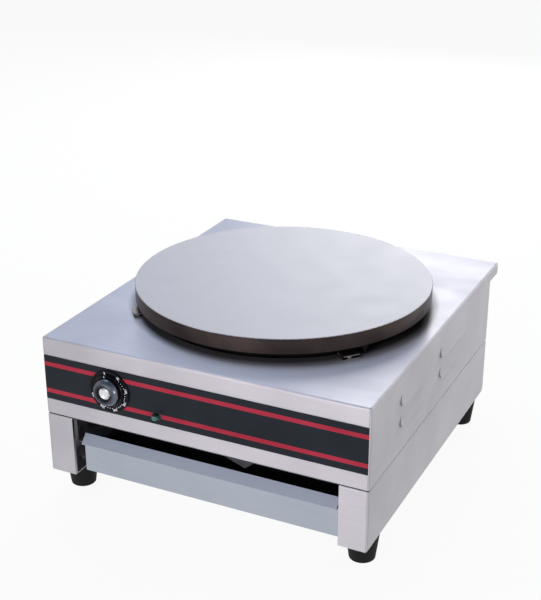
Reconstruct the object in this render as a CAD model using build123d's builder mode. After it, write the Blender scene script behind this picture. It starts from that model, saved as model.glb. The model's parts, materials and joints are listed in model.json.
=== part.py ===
from build123d import *
import math
import os

# Electric crepe maker for a counter: a round cast-iron griddle over a folded steel
# housing, which stands on a base with a sliding drip tray.
# Units are millimetres. X is to the right, the front faces -Y, Z is up, and the
# origin is on the floor in the middle of the outline.

os.makedirs("parts", exist_ok=True)

# ------------------------------------------------------------ driving dimensions

# housing, base and feet
body_width = 450.0
body_depth = 465.0
housing_height = 109.5
base_height = 83.5
foot_height = 35.0
rim_lift = 2.0
hood_reach = 36.0
hood_drop = 16.0
hood_corner = 5.0

# stainless sheet
sheet = 1.2
bend_radius = 3.0

# cast-iron griddle
plate_radius = 200.0
plate_thickness = 21.0
plate_rise = 32.0
plate_offset = 11.5
plate_edge_radius = 1.2
plate_rim_width = 12.0
plate_recess = 6.5

# heater under the griddle
pan_clearance = 5.0
pan_depth = 42.5
pan_sheet = 1.0
housing_hole_gap = 3.0
element_radius = 4.25
element_gap = 0.2
element_rings = {"element_outer": 150.0, "element_inner": 85.0}
leg_offset = 26.0
leg_bend = 10.0
leg_drop = 15.0
pin_radius = 2.0
pin_length = 12.0
clamp_thickness = 2.0
clamp_width = 28.0
clamp_length = 340.0
clamp_angle = 45.0
stud_circle = 115.0
stud_radius = 4.0
stud_seat = 8.0
stud_tail = 12.0
nut_flats = 13.0
nut_thickness = 6.5
nut_pocket = 8.2
bushing_radius = 6.0
bushing_flange = 8.0
bushing_flange_thickness = 4.0
bushing_rise = 6.0
link_width = 10.0
link_thickness = 1.5
link_overhang = 12.0

# brackets and bolts between griddle and housing
bracket_angle = 41.0
bracket_width = 22.0
bracket_height = 5.8
bracket_sheet = 1.2
bracket_inset = 2.0
bracket_clearance = 0.1
bracket_reach = 206.5
bracket_screw_circle = 199.0
level_bolt_angle = 34.0
level_bolt_circle = 195.0
level_bolt_radius = 3.0
level_bolt_head = 4.8
level_bolt_head_height = 4.5

# small screws
screw_radius = 2.0
screw_head = 3.5
screw_head_height = 2.2
screw_bite = 5.0

# control strip on the front
overlay_margin = 2.0
overlay_height = 62.0
overlay_thickness = 0.8
overlay_drop = 24.5
overlay_corner = 1.0

# temperature dial and knob
knob_inset = 100.0
knob_lift = 2.5
dial_drop = 2.0
dial_radius = 28.5
dial_thickness = 2.5
dial_edge = 1.0
dial_bore = 4.5
knob_gap = 0.5
knob_radius = 21.5
knob_edge = 1.0
knob_skirt = 3.0
knob_shoulder_radius = 18.6
knob_height = 13.0
knob_crown_bulge = 1.4
knob_rim_radius = 12.8
knob_dish_radius = 12.0
knob_dish_depth = 5.0
knob_bore_depth = 6.5
cap_radius = 4.6
cap_thickness = 0.6
shaft_radius = 3.0
shaft_flat = 2.2
shaft_clearance = 0.05
shaft_hole = 5.0
shaft_seat = 12.0
shaft_end_play = 0.5

# thermostat behind the dial
thermostat_width = 40.0
thermostat_height = 34.0
thermostat_depth = 26.0
thermostat_screw_spread = 28.0
low_head = 3.6
low_head_height = 1.6
head_clearance = 0.2
blade_spread = 20.0
blade_width = 6.3
blade_thickness = 0.8
blade_length = 8.0

# indicator lamp
lamp_spacing = 67.0
lamp_drop = 74.4
lens_radius = 4.8
lens_seat = 6.0
lens_reach = 9.0
lamp_wall = 0.9
lamp_bezel_radius = 6.8
lamp_bezel_thickness = 1.5
lamp_length = 22.0
lamp_nut_flats = 17.0
lamp_nut_thickness = 4.0

# sensor
bulb_radius = 3.0
bulb_length = 80.0
bulb_circle = 118.0
clip_width = 14.0
clip_foot = 8.0
clip_sheet = 1.0
capillary_radius = 1.2
capillary_hole = 3.0
capillary_bend = 8.0
capillary_lead = 20.0

# louvres in the housing sides
louvre_length = 108.0
louvre_height = 16.0
louvre_rise = 2.6
louvre_pitch = 147.0
louvre_offset = -7.5
louvre_rows = (37.0, 66.0)

# base
post_width = 38.0
post_return = 12.0
post_hem = 4.0
base_corner = 10.0
base_bend = 1.8
base_back_gap = 15.5
base_screw_pitch = 162.5

# feet
foot_inset = 21.5
foot_setback = 40.0
foot_top_radius = 21.0
foot_bottom_radius = 16.5
foot_edge = 1.5
foot_pocket_radius = 7.0
foot_pocket_depth = 12.0
foot_screw_radius = 2.5
foot_head_radius = 4.5
foot_head_height = 3.5
foot_nut_flats = 8.0
foot_nut_thickness = 4.0

# drip tray and its runners
tray_sheet = 1.0
tray_shift = 3.5
tray_setback = 6.0
tray_side_gap = 7.0
tray_top_gap = 35.9
tray_floor_gap = 8.0
tray_back_gap = 28.0
tray_left_tip = 3.0
tray_right_tip = -1.0
tray_lip_overhang = 3.0
tray_lip_depth = 10.0
tray_lip_height = 11.4
tray_flange = 15.0
tray_pan_lift = 1.0
tray_corner = 4.0
runner_play = 0.4
runner_ledge = 17.2

# housing floor
floor_flange = 12.0
drip_setback = 15.0
drip_left = 1.0
drip_right = 79.0
drip_tip = 56.0
drip_length = 19.0
vent_length = 60.0
vent_width = 5.0
floor_vent_pitch = 14.0
floor_vent_count = 5
floor_vent_x = 150.0

# rear panel and what is on it
rear_return = 16.0
rear_margin = 5.0
rear_screw_inset = 9.5
rear_screw_low = 14.0
rear_screw_high = 15.5
rear_vent_pitch = 12.0
rear_vent_rows = 4
rear_vent_drop = 49.5
gland_inset = 75.0
gland_height = 32.0
gland_thread_radius = 9.8
gland_bore_radius = 6.0
gland_flats = 24.0
gland_flange_thickness = 4.0
gland_tail = 12.0
gland_spigot_radius = 9.0
gland_spigot_length = 8.0
gland_nut_length = 18.0
gland_mouth_radius = 5.0
gland_mouth_length = 8.0
gland_locknut_thickness = 4.0
bond_spacing = 50.0
bond_shank_radius = 4.0
bond_tail = 10.0
bond_pin_radius = 3.0
bond_pin_length = 11.0
bond_nut_flats = 13.0
bond_nut_thickness = 5.0

# terminal block and wires
block_width = 42.0
block_depth = 22.0
block_height = 18.0
block_gap = 59.0
block_pitch = 13.0
block_corner = 2.0
wire_height = 8.3
wire_radius = 1.8
wire_bend = 10.0
live_rise = 36.0
neutral_rise = 70.0
neutral_climb = 54.8
earth_reach = 20.0
earth_bend = 4.0
lead_radius = 0.9
lead_bend = 6.0
lead_spread = 5.0
lead_slack = 14.0
lead_rise = 6.0

# ------------------------------------------------------------ levels and stations

half_width = body_width / 2
knob_x = knob_inset - half_width
lamp_x = knob_x + lamp_spacing
gland_x = gland_inset - half_width
bond_x = gland_x + bond_spacing
knob_reach = overlay_thickness + dial_thickness + knob_gap + knob_height
overall_depth = knob_reach + body_depth + hood_reach
y_front = knob_reach - overall_depth / 2
y_back = y_front + body_depth
y_middle = (y_front + y_back) / 2
y_plate = y_middle + plate_offset

z_base = foot_height
z_housing = z_base + base_height
z_rim = z_housing + rim_lift
z_top = z_housing + housing_height
z_plate_top = z_top + plate_rise
z_plate_bottom = z_plate_top - plate_thickness
z_heater = z_plate_bottom + plate_recess
z_elements = z_heater - element_gap - element_radius
z_clamp_top = z_elements - element_radius - element_gap
z_clamp = z_clamp_top - clamp_thickness
z_pan = z_heater - pan_depth
z_overlay = z_top - overlay_drop - overlay_height / 2
z_knob = z_overlay + knob_lift
z_dial = z_knob - dial_drop
z_lamp = z_top - lamp_drop

plate_recess_radius = plate_radius - plate_rim_width
pan_radius = plate_recess_radius - pan_clearance
housing_hole_radius = pan_radius + housing_hole_gap
bend_inside = bend_radius - sheet

# planes that face the front: local x is +X, local y is +Z, and they extrude to -Y
front_plane = Plane.XZ.offset(-y_front)
overlay_plane = Plane.XZ.offset(-(y_front - overlay_thickness))
y_dial = y_front - overlay_thickness - dial_thickness
y_knob = y_dial - knob_gap
inside_plane = Plane.XZ.offset(-(y_front + sheet))
back_plane = Plane.XZ.offset(-y_back)

thermostat_screws_xz = [(knob_x + side * thermostat_screw_spread / 2, z_knob) for side in (-1, 1)]


def around_plate(radius, angle):
    """A point in the ground plan at a radius and an angle about the griddle's axis."""
    turn = math.radians(angle)
    return (radius * math.cos(turn), y_plate + radius * math.sin(turn))


def mirrored_angles(angle):
    """The angle in the first quadrant and its mirror images in the other three."""
    return (angle, 180 - angle, angle - 180, -angle)


studs = [around_plate(stud_circle, angle) for angle in mirrored_angles(clamp_angle)]
bracket_screws_xy = [around_plate(bracket_screw_circle, angle) for angle in mirrored_angles(bracket_angle)]
level_bolts_xy = [around_plate(level_bolt_circle, angle) for angle in mirrored_angles(level_bolt_angle)]


def leg_places(ring_radius):
    """The two points where a ring of this radius turns down to its terminals."""
    back = math.sqrt(ring_radius**2 + leg_bend**2 - leg_offset**2)
    return [(-leg_offset, y_plate - back), (leg_offset, y_plate - back)]


legs = [place for ring_radius in element_rings.values() for place in leg_places(ring_radius)]

# ------------------------------------------------------------ housing

z_rear_low = z_housing + rear_screw_low
z_rear_high = z_top - hood_drop - rear_screw_high
rear_screws = [
    (side * (half_width - rear_screw_inset), z)
    for side in (-1, 1)
    for z in (z_rear_low, (z_rear_low + z_rear_high) / 2, z_rear_high)
]
base_screws_xy = [
    (side * (half_width - post_width / 2), y_middle + step * base_screw_pitch)
    for side in (-1, 1)
    for step in (-1, 0, 1)
]
louvre_columns = [y_middle + louvre_offset + step * louvre_pitch / 2 for step in (-1, 1)]
lamp_tube_radius = lens_radius + lamp_wall

# the space inside the sheet: the box below, and the hollow of the hood behind it
with BuildPart() as housing_cavity:
    with BuildSketch(Plane.XY.offset(z_rim)):
        with Locations((0, y_middle)):
            Rectangle(body_width - 2 * sheet, body_depth - 2 * sheet)
    extrude(amount=z_top - sheet - z_rim)
    with BuildSketch(Plane.XY.offset(z_top - hood_drop)):
        with Locations((0, y_back - sheet)):
            Rectangle(body_width - 2 * sheet, hood_reach, align=(Align.CENTER, Align.MIN))
    extrude(amount=hood_drop - sheet)
    cavity_hood_edge = housing_cavity.edges().filter_by(Axis.X).group_by(Axis.Y)[-1].sort_by(Axis.Z)[0]
    chamfer(cavity_hood_edge, length=hood_corner + (math.sqrt(2) - 1) * sheet)
    cavity_top_edges = housing_cavity.faces().sort_by(Axis.Z)[-1].edges()
    fillet(cavity_top_edges + housing_cavity.edges().filter_by(Axis.Z), radius=bend_inside)

# one louvre on a wall that faces +X: it slopes out from its upper edge and is open below
with BuildPart() as louvre_shell:
    with BuildSketch(Plane.YZ.offset(-sheet)):
        SlotOverall(louvre_length, louvre_height)
    extrude(amount=sheet + louvre_rise)
    slope = Plane(origin=(0, 0, louvre_height / 2), x_dir=(0, 1, 0), z_dir=(louvre_height, 0, louvre_rise))
    split(bisect_by=slope, keep=Keep.BOTTOM)

with BuildPart() as louvre_hollow:
    with BuildSketch(Plane.YZ.offset(-2 * sheet)):
        SlotOverall(louvre_length - 2 * sheet, louvre_height - 2 * sheet)
        Rectangle(louvre_length - louvre_height, louvre_height / 2, align=(Align.CENTER, Align.MAX))
    extrude(amount=2 * sheet + louvre_rise)
    split(bisect_by=slope.offset(-sheet), keep=Keep.BOTTOM)

# the box stands a little clear of the base, on its floor, which leaves a dark joint between them
with BuildPart() as housing:
    with BuildSketch(Plane.XY.offset(z_rim)):
        with Locations((0, y_middle)):
            Rectangle(body_width, body_depth)
    extrude(amount=z_top - z_rim)
    with BuildSketch(Plane.XY.offset(z_top - hood_drop)):
        with Locations((0, y_back)):
            Rectangle(body_width, hood_reach, align=(Align.CENTER, Align.MIN))
    extrude(amount=hood_drop)
    hood_edge = housing.edges().filter_by(Axis.X).group_by(Axis.Y)[-1].sort_by(Axis.Z)[0]
    chamfer(hood_edge, length=hood_corner)
    top_edges = housing.faces().sort_by(Axis.Z)[-1].edges()
    fillet(top_edges + housing.edges().filter_by(Axis.Z), radius=bend_radius)
    add(housing_cavity.part, mode=Mode.SUBTRACT)
    # round hole for the heater pan, and the holes of the screws and bolts round it
    with BuildSketch(Plane.XY.offset(z_top)):
        with Locations((0, y_plate)):
            Circle(housing_hole_radius)
        with Locations(*bracket_screws_xy):
            Circle(screw_radius)
        with Locations(*level_bolts_xy):
            Circle(level_bolt_radius)
    extrude(amount=-sheet, mode=Mode.SUBTRACT)
    # front: shaft, thermostat screws and lamp
    with BuildSketch(front_plane):
        with Locations((knob_x, z_knob)):
            Circle(shaft_hole)
        with Locations(*thermostat_screws_xz):
            Circle(screw_radius)
        with Locations((lamp_x, z_lamp)):
            Circle(lamp_tube_radius)
    extrude(amount=-sheet, mode=Mode.SUBTRACT)
    # rear: an opening between the side returns, and the holes of the rear panel's screws
    with BuildSketch(back_plane):
        with Locations((0, z_housing)):
            Rectangle(
                body_width - 2 * rear_return,
                housing_height - hood_drop,
                align=(Align.CENTER, Align.MIN),
            )
        with Locations(*rear_screws):
            Circle(screw_radius)
    extrude(amount=sheet, mode=Mode.SUBTRACT)
    # louvres pressed outwards in both side walls
    for side, turn in ((-1, 180), (1, 0)):
        for y in louvre_columns:
            for z in louvre_rows:
                place = Location((side * half_width, y, z_top - z), (0, 0, turn))
                add(louvre_shell.part.moved(place))
                add(louvre_hollow.part.moved(place), mode=Mode.SUBTRACT)
housing.part.label = "housing"
export_step(housing.part, "parts/housing.step")

# ------------------------------------------------------------ housing floor

with BuildPart() as bottom_plate:
    with BuildSketch(Plane.XY.offset(z_housing)):
        with Locations((0, y_middle)):
            Rectangle(body_width - 2 * sheet, body_depth - 2 * sheet)
    extrude(amount=floor_flange)
    fillet(bottom_plate.edges().filter_by(Axis.Z), radius=bend_inside)
    offset(amount=-sheet, openings=bottom_plate.faces().sort_by(Axis.Z)[-1])
    with BuildSketch(Plane.XY.offset(z_housing)):
        with Locations(*base_screws_xy):
            Circle(screw_radius)
        with Locations((floor_vent_x, y_middle), (0, y_middle)):
            with GridLocations(0, floor_vent_pitch, 1, floor_vent_count):
                SlotOverall(vent_length, vent_width)
    extrude(amount=sheet, mode=Mode.SUBTRACT)
    # pointed tab behind the front edge, where spilt batter runs together and drips off
    with BuildSketch(Plane.XZ.offset(-(y_front + drip_setback))):
        with BuildLine():
            Polyline(
                (drip_left, z_housing + sheet / 2),
                (drip_right, z_housing + sheet / 2),
                (drip_right, z_housing),
                (drip_tip, z_housing - drip_length),
                (drip_left, z_housing),
                close=True,
            )
        make_face()
    extrude(amount=-sheet)
bottom_plate.part.label = "bottom_plate"
export_step(bottom_plate.part, "parts/bottom_plate.step")

# ------------------------------------------------------------ rear panel

gland_z = z_housing + gland_height

with BuildPart() as rear_panel:
    with BuildSketch(back_plane):
        with Locations((0, z_housing + rear_margin / 2)):
            Rectangle(
                body_width - 2 * rear_margin,
                housing_height - rear_margin,
                align=(Align.CENTER, Align.MIN),
            )
        with Locations(*rear_screws):
            Circle(screw_radius, mode=Mode.SUBTRACT)
        with Locations((gland_x, gland_z)):
            Circle(gland_thread_radius, mode=Mode.SUBTRACT)
        with Locations((bond_x, gland_z)):
            Circle(bond_shank_radius, mode=Mode.SUBTRACT)
        with Locations((0, z_top - rear_vent_drop)):
            with GridLocations(1.5 * vent_length, rear_vent_pitch, 3, rear_vent_rows):
                SlotOverall(vent_length, vent_width, mode=Mode.SUBTRACT)
    extrude(amount=-sheet)
rear_panel.part.label = "rear_panel"
export_step(rear_panel.part, "parts/rear_panel.step")

with BuildPart() as rear_panel_screws:
    with BuildSketch(Plane.XZ.offset(-(y_back + sheet))):
        with Locations(*rear_screws):
            Circle(screw_head)
    extrude(amount=-screw_head_height)
    with BuildSketch(Plane.XZ.offset(-(y_back + sheet))):
        with Locations(*rear_screws):
            Circle(screw_radius)
    extrude(amount=2 * sheet + screw_bite)
rear_panel_screws.part.label = "rear_panel_screws"
export_step(rear_panel_screws.part, "parts/rear_panel_screws.step")

# ------------------------------------------------------------ cable gland, with no cord

outside_plane = Plane.XZ.offset(-(y_back + sheet))

with BuildPart() as cable_gland:
    with BuildSketch(outside_plane):
        with Locations((gland_x, gland_z)):
            RegularPolygon(gland_flats / 2, 6, major_radius=False)
    extrude(amount=-gland_flange_thickness)
    with BuildSketch(outside_plane):
        with Locations((gland_x, gland_z)):
            Circle(gland_thread_radius)
    extrude(amount=sheet + gland_tail)
    with BuildSketch(outside_plane):
        with Locations((gland_x, gland_z)):
            Circle(gland_spigot_radius)
    extrude(amount=-(gland_flange_thickness + gland_spigot_length))
    with BuildSketch(outside_plane):
        with Locations((gland_x, gland_z)):
            Circle(gland_bore_radius)
    extrude(amount=sheet + gland_tail, mode=Mode.SUBTRACT)
    with BuildSketch(outside_plane):
        with Locations((gland_x, gland_z)):
            Circle(gland_bore_radius)
    extrude(amount=-(gland_flange_thickness + gland_spigot_length), mode=Mode.SUBTRACT)
cable_gland.part.label = "cable_gland"
export_step(cable_gland.part, "parts/cable_gland.step")

gland_nut_y = y_back + sheet + gland_flange_thickness

with BuildPart() as gland_nut:
    with BuildSketch(Plane.XZ.offset(-gland_nut_y)):
        with Locations((gland_x, gland_z)):
            Circle(gland_flats / 2)
    extrude(amount=-gland_nut_length)
    fillet(gland_nut.edges().sort_by(Axis.Y)[-1], radius=gland_flats / 6)
    with BuildSketch(Plane.XZ.offset(-gland_nut_y)):
        with Locations((gland_x, gland_z)):
            Circle(gland_mouth_radius)
    extrude(amount=-gland_nut_length, mode=Mode.SUBTRACT)
    with BuildSketch(Plane.XZ.offset(-gland_nut_y)):
        with Locations((gland_x, gland_z)):
            Circle(gland_spigot_radius)
    extrude(amount=-(gland_nut_length - gland_mouth_length), mode=Mode.SUBTRACT)
gland_nut.part.label = "gland_nut"
export_step(gland_nut.part, "parts/gland_nut.step")

with BuildPart() as gland_locknut:
    with BuildSketch(back_plane):
        with Locations((gland_x, gland_z)):
            RegularPolygon(gland_flats / 2, 6, major_radius=False)
            Circle(gland_thread_radius, mode=Mode.SUBTRACT)
    extrude(amount=gland_locknut_thickness)
gland_locknut.part.label = "gland_locknut"
export_step(gland_locknut.part, "parts/gland_locknut.step")

# ------------------------------------------------------------ equipotential bonding stud

with BuildPart() as bonding_stud:
    with BuildSketch(Plane.XZ.offset(-(y_back - bond_tail))):
        with Locations((bond_x, gland_z)):
            Circle(bond_shank_radius)
    extrude(amount=-(bond_tail + sheet + bond_nut_thickness))
    with BuildSketch(Plane.XZ.offset(-(y_back + sheet + bond_nut_thickness))):
        with Locations((bond_x, gland_z)):
            Circle(bond_pin_radius)
    extrude(amount=-bond_pin_length)
bonding_stud.part.label = "bonding_stud"
export_step(bonding_stud.part, "parts/bonding_stud.step")

with BuildPart() as bonding_nuts:
    with BuildSketch(outside_plane):
        with Locations((bond_x, gland_z)):
            RegularPolygon(bond_nut_flats / 2, 6, major_radius=False)
            Circle(bond_shank_radius, mode=Mode.SUBTRACT)
    extrude(amount=-bond_nut_thickness)
    with BuildSketch(back_plane):
        with Locations((bond_x, gland_z)):
            RegularPolygon(bond_nut_flats / 2, 6, major_radius=False)
            Circle(bond_shank_radius, mode=Mode.SUBTRACT)
    extrude(amount=bond_nut_thickness)
bonding_nuts.part.label = "bonding_nuts"
export_step(bonding_nuts.part, "parts/bonding_nuts.step")

# ------------------------------------------------------------ control strip

with BuildPart() as control_overlay:
    with BuildSketch(front_plane):
        with Locations((0, z_overlay)):
            RectangleRounded(body_width - 2 * overlay_margin, overlay_height, overlay_corner)
        with Locations((knob_x, z_knob)):
            Circle(shaft_hole, mode=Mode.SUBTRACT)
        with Locations(*thermostat_screws_xz):
            Circle(low_head + head_clearance, mode=Mode.SUBTRACT)
        with Locations((lamp_x, z_lamp)):
            Circle(lamp_tube_radius, mode=Mode.SUBTRACT)
    extrude(amount=overlay_thickness)
control_overlay.part.label = "control_overlay"
export_step(control_overlay.part, "parts/control_overlay.step")

# ------------------------------------------------------------ dial and knob

with BuildPart() as dial_plate:
    with BuildSketch(overlay_plane):
        with Locations((knob_x, z_dial)):
            Circle(dial_radius)
        with Locations((knob_x, z_knob)):
            Circle(dial_bore, mode=Mode.SUBTRACT)
    extrude(amount=dial_thickness)
    fillet(dial_plate.faces().sort_by(Axis.Y)[0].outer_wire().edges(), radius=dial_edge)
    with BuildSketch(overlay_plane):
        with Locations(*thermostat_screws_xz):
            Circle(low_head + head_clearance)
    extrude(amount=low_head_height - overlay_thickness + head_clearance, mode=Mode.SUBTRACT)
dial_plate.part.label = "dial_plate"
export_step(dial_plate.part, "parts/dial_plate.step")

# profile plane of the turned parts on the front: local x is the radius, local y is the reach
knob_profile = Plane(origin=(knob_x, y_knob, z_knob), x_dir=(1, 0, 0), z_dir=(0, 0, -1))
knob_axis = Axis((knob_x, y_knob, z_knob), (0, -1, 0))
knob_dish = knob_height - knob_dish_depth
crown_middle = (
    (knob_shoulder_radius + knob_rim_radius) / 2 + knob_crown_bulge,
    (knob_skirt + knob_height) / 2 + knob_crown_bulge,
)

with BuildPart() as knob:
    with BuildSketch(knob_profile):
        with BuildLine():
            Polyline(
                (knob_rim_radius, knob_height),
                (knob_dish_radius, knob_height),
                (cap_radius, knob_dish),
                (0, knob_dish),
                (0, 0),
                (knob_radius, 0),
                (knob_radius, knob_skirt - knob_edge),
                (knob_radius - knob_edge, knob_skirt),
                (knob_shoulder_radius, knob_skirt),
            )
            ThreePointArc((knob_shoulder_radius, knob_skirt), crown_middle, (knob_rim_radius, knob_height))
        make_face()
    revolve(axis=knob_axis)
    with BuildSketch(Plane.XZ.offset(-y_knob)):
        with Locations((knob_x, z_knob)):
            Circle(shaft_radius)
        with Locations((knob_x, z_knob + shaft_flat)):
            Rectangle(
                2 * shaft_radius,
                shaft_radius,
                align=(Align.CENTER, Align.MIN),
                mode=Mode.SUBTRACT,
            )
    extrude(amount=knob_bore_depth, mode=Mode.SUBTRACT)
knob.part.label = "knob"
export_step(knob.part, "parts/knob.step")

with BuildPart() as knob_cap:
    with BuildSketch(Plane.XZ.offset(-(y_knob - knob_dish))):
        with Locations((knob_x, z_knob)):
            Circle(cap_radius)
    extrude(amount=cap_thickness)
    fillet(knob_cap.edges().group_by(Axis.Y)[0], radius=cap_thickness / 2)
knob_cap.part.label = "knob_cap"
export_step(knob_cap.part, "parts/knob_cap.step")

shaft_end = y_front + sheet + shaft_seat

with BuildPart() as thermostat_shaft:
    with BuildSketch(Plane.XZ.offset(-shaft_end)):
        with Locations((knob_x, z_knob)):
            Circle(shaft_radius)
    extrude(amount=shaft_end - y_knob + knob_bore_depth)
    with BuildSketch(Plane.XZ.offset(-y_knob)):
        with Locations((knob_x, z_knob + shaft_flat)):
            Rectangle(2 * shaft_radius, shaft_radius, align=(Align.CENTER, Align.MIN))
    extrude(amount=knob_bore_depth, mode=Mode.SUBTRACT)
thermostat_shaft.part.label = "thermostat_shaft"
export_step(thermostat_shaft.part, "parts/thermostat_shaft.step")

# ------------------------------------------------------------ thermostat

thermostat_back = y_front + sheet + thermostat_depth

with BuildPart() as thermostat_body:
    with BuildSketch(inside_plane):
        with Locations((knob_x, z_knob)):
            RectangleRounded(thermostat_width, thermostat_height, bend_radius)
    extrude(amount=-thermostat_depth)
    with BuildSketch(inside_plane):
        with Locations((knob_x, z_knob)):
            Circle(shaft_radius + shaft_clearance)
    extrude(amount=-(shaft_seat + shaft_end_play), mode=Mode.SUBTRACT)
    with BuildSketch(inside_plane):
        with Locations(*thermostat_screws_xz):
            Circle(screw_radius)
    extrude(amount=-screw_bite, mode=Mode.SUBTRACT)
    with BuildSketch(Plane.XZ.offset(-thermostat_back)):
        with Locations((knob_x, z_knob)):
            with GridLocations(blade_spread, 0, 2, 1):
                Rectangle(blade_thickness, blade_width)
    extrude(amount=-blade_length)
thermostat_body.part.label = "thermostat_body"
export_step(thermostat_body.part, "parts/thermostat_body.step")

with BuildPart() as thermostat_screws:
    with BuildSketch(front_plane):
        with Locations(*thermostat_screws_xz):
            Circle(low_head)
    extrude(amount=low_head_height)
    with BuildSketch(front_plane):
        with Locations(*thermostat_screws_xz):
            Circle(screw_radius)
    extrude(amount=-(sheet + screw_bite))
thermostat_screws.part.label = "thermostat_screws"
export_step(thermostat_screws.part, "parts/thermostat_screws.step")

# ------------------------------------------------------------ indicator lamp

y_lamp = y_front - overlay_thickness
lamp_profile = Plane(origin=(lamp_x, y_lamp, z_lamp), x_dir=(1, 0, 0), z_dir=(0, 0, -1))
lamp_axis = Axis((lamp_x, y_lamp, z_lamp), (0, -1, 0))
lens_back = lamp_bezel_thickness - lens_seat

with BuildPart() as lamp_body:
    with BuildSketch(lamp_profile):
        with BuildLine():
            Polyline(
                (0, lens_back),
                (lens_radius, lens_back),
                (lens_radius, lamp_bezel_thickness),
                (lamp_tube_radius, lamp_bezel_thickness),
                (lamp_bezel_radius, 0),
                (lamp_tube_radius, 0),
                (lamp_tube_radius, -lamp_length),
                (0, -lamp_length),
                close=True,
            )
        make_face()
    revolve(axis=lamp_axis)
lamp_body.part.label = "lamp_body"
export_step(lamp_body.part, "parts/lamp_body.step")

with BuildPart() as lamp_lens:
    with BuildSketch(lamp_profile):
        with BuildLine():
            Line((0, lens_back), (lens_radius, lens_back))
            Line((lens_radius, lens_back), (lens_radius, lens_reach - lens_radius))
            ThreePointArc(
                (lens_radius, lens_reach - lens_radius),
                (
                    lens_radius * math.cos(math.radians(45)),
                    lens_reach - lens_radius + lens_radius * math.sin(math.radians(45)),
                ),
                (0, lens_reach),
            )
            Line((0, lens_reach), (0, lens_back))
        make_face()
    revolve(axis=lamp_axis)
lamp_lens.part.label = "lamp_lens"
export_step(lamp_lens.part, "parts/lamp_lens.step")

with BuildPart() as lamp_nut:
    with BuildSketch(inside_plane):
        with Locations((lamp_x, z_lamp)):
            RegularPolygon(lamp_nut_flats / 2, 6, major_radius=False)
            Circle(lamp_tube_radius, mode=Mode.SUBTRACT)
    extrude(amount=-lamp_nut_thickness)
lamp_nut.part.label = "lamp_nut"
export_step(lamp_nut.part, "parts/lamp_nut.step")

# ------------------------------------------------------------ griddle plate

with BuildPart() as griddle_plate:
    with BuildSketch(Plane.XY.offset(z_plate_bottom)):
        with Locations((0, y_plate)):
            Circle(plate_radius)
    extrude(amount=plate_thickness)
    fillet(griddle_plate.edges(), radius=plate_edge_radius)
    with BuildSketch(Plane.XY.offset(z_plate_bottom)):
        with Locations((0, y_plate)):
            Circle(plate_recess_radius)
    extrude(amount=plate_recess, mode=Mode.SUBTRACT)
    with BuildSketch(Plane.XY.offset(z_heater)):
        with Locations(*studs):
            Circle(stud_radius)
    extrude(amount=stud_seat, mode=Mode.SUBTRACT)
griddle_plate.part.label = "griddle_plate"
export_step(griddle_plate.part, "parts/griddle_plate.step")

# ------------------------------------------------------------ heater pan and insulation

capillary_xy = (-(bulb_length / 2 + capillary_lead), y_plate - bulb_circle)

with BuildPart() as heater_pan:
    with BuildSketch(Plane.XY.offset(z_pan)):
        with Locations((0, y_plate)):
            Circle(pan_radius)
    extrude(amount=pan_depth)
    fillet(heater_pan.edges().sort_by(Axis.Z)[0], radius=bend_radius)
    offset(amount=-pan_sheet, openings=heater_pan.faces().sort_by(Axis.Z)[-1])
    with BuildSketch(Plane.XY.offset(z_pan)):
        with Locations(*studs):
            Circle(stud_radius)
        with Locations(*legs):
            Circle(bushing_radius)
        with Locations(capillary_xy):
            Circle(capillary_hole)
    extrude(amount=pan_sheet, mode=Mode.SUBTRACT)
heater_pan.part.label = "heater_pan"
export_step(heater_pan.part, "parts/heater_pan.step")

with BuildPart() as insulation_disc:
    with BuildSketch(Plane.XY.offset(z_pan + pan_sheet)):
        with Locations((0, y_plate)):
            Circle(pan_radius - pan_sheet)
    extrude(amount=z_clamp - z_pan - pan_sheet)
    fillet(insulation_disc.edges().sort_by(Axis.Z)[0], radius=bend_radius - pan_sheet)
    with BuildSketch(Plane.XY.offset(z_pan + pan_sheet)):
        with Locations(*studs):
            Circle(stud_radius)
        with Locations(*legs):
            Circle(bushing_radius)
        with Locations(capillary_xy):
            Circle(capillary_hole)
    extrude(amount=z_clamp - z_pan - pan_sheet, mode=Mode.SUBTRACT)
    with BuildSketch(Plane.XY.offset(z_clamp)):
        with Locations(*studs):
            Circle(nut_pocket)
    extrude(amount=-nut_thickness, mode=Mode.SUBTRACT)
insulation_disc.part.label = "insulation_disc"
export_step(insulation_disc.part, "parts/insulation_disc.step")

# ------------------------------------------------------------ heating elements

leg_bottom = z_pan - leg_drop

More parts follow.
